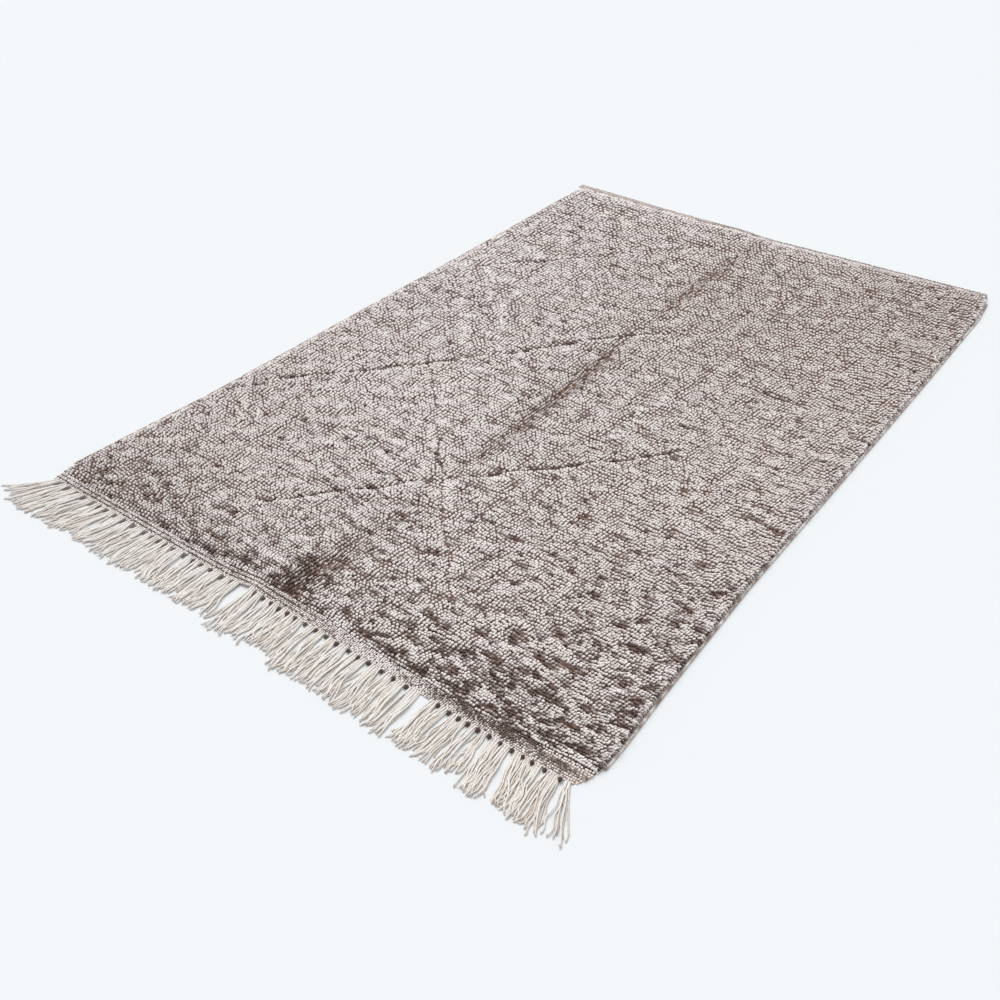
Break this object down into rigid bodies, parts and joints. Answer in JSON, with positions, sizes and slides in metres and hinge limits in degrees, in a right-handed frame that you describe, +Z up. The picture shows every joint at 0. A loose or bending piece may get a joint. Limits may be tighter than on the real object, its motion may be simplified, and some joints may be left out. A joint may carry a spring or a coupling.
{
  "type": "beni ourain rug",
  "caption": "Hand-knotted wool rug with a dense short ivory and grey-brown pile, a sunk trellis of large diamonds and a long twisted warp fringe at one end.",
  "frame": {"origin": "middle of the rug's outline, fringe included, on the surface that it lies on", "axes": "+X across the rug, +Y along it from the fringed end to the plain end, +Z up out of the pile"},
  "size_m": [1.715, 2.6424, 0.0205],
  "materials": {
    "pile": "dense knotted wool pile, ivory tips over grey-brown",
    "end_weave": "undyed cream wool, flat-woven and twisted",
    "side_cord": "brown wool wrapped closely over a cord"
  },
  "bodies": {
    "root": {"pile_field": "pile", "near_end_band": "end_weave", "far_end_band": "end_weave", "selvedge_left": "side_cord", "selvedge_right": "side_cord"}
  },
  "joints": []
}
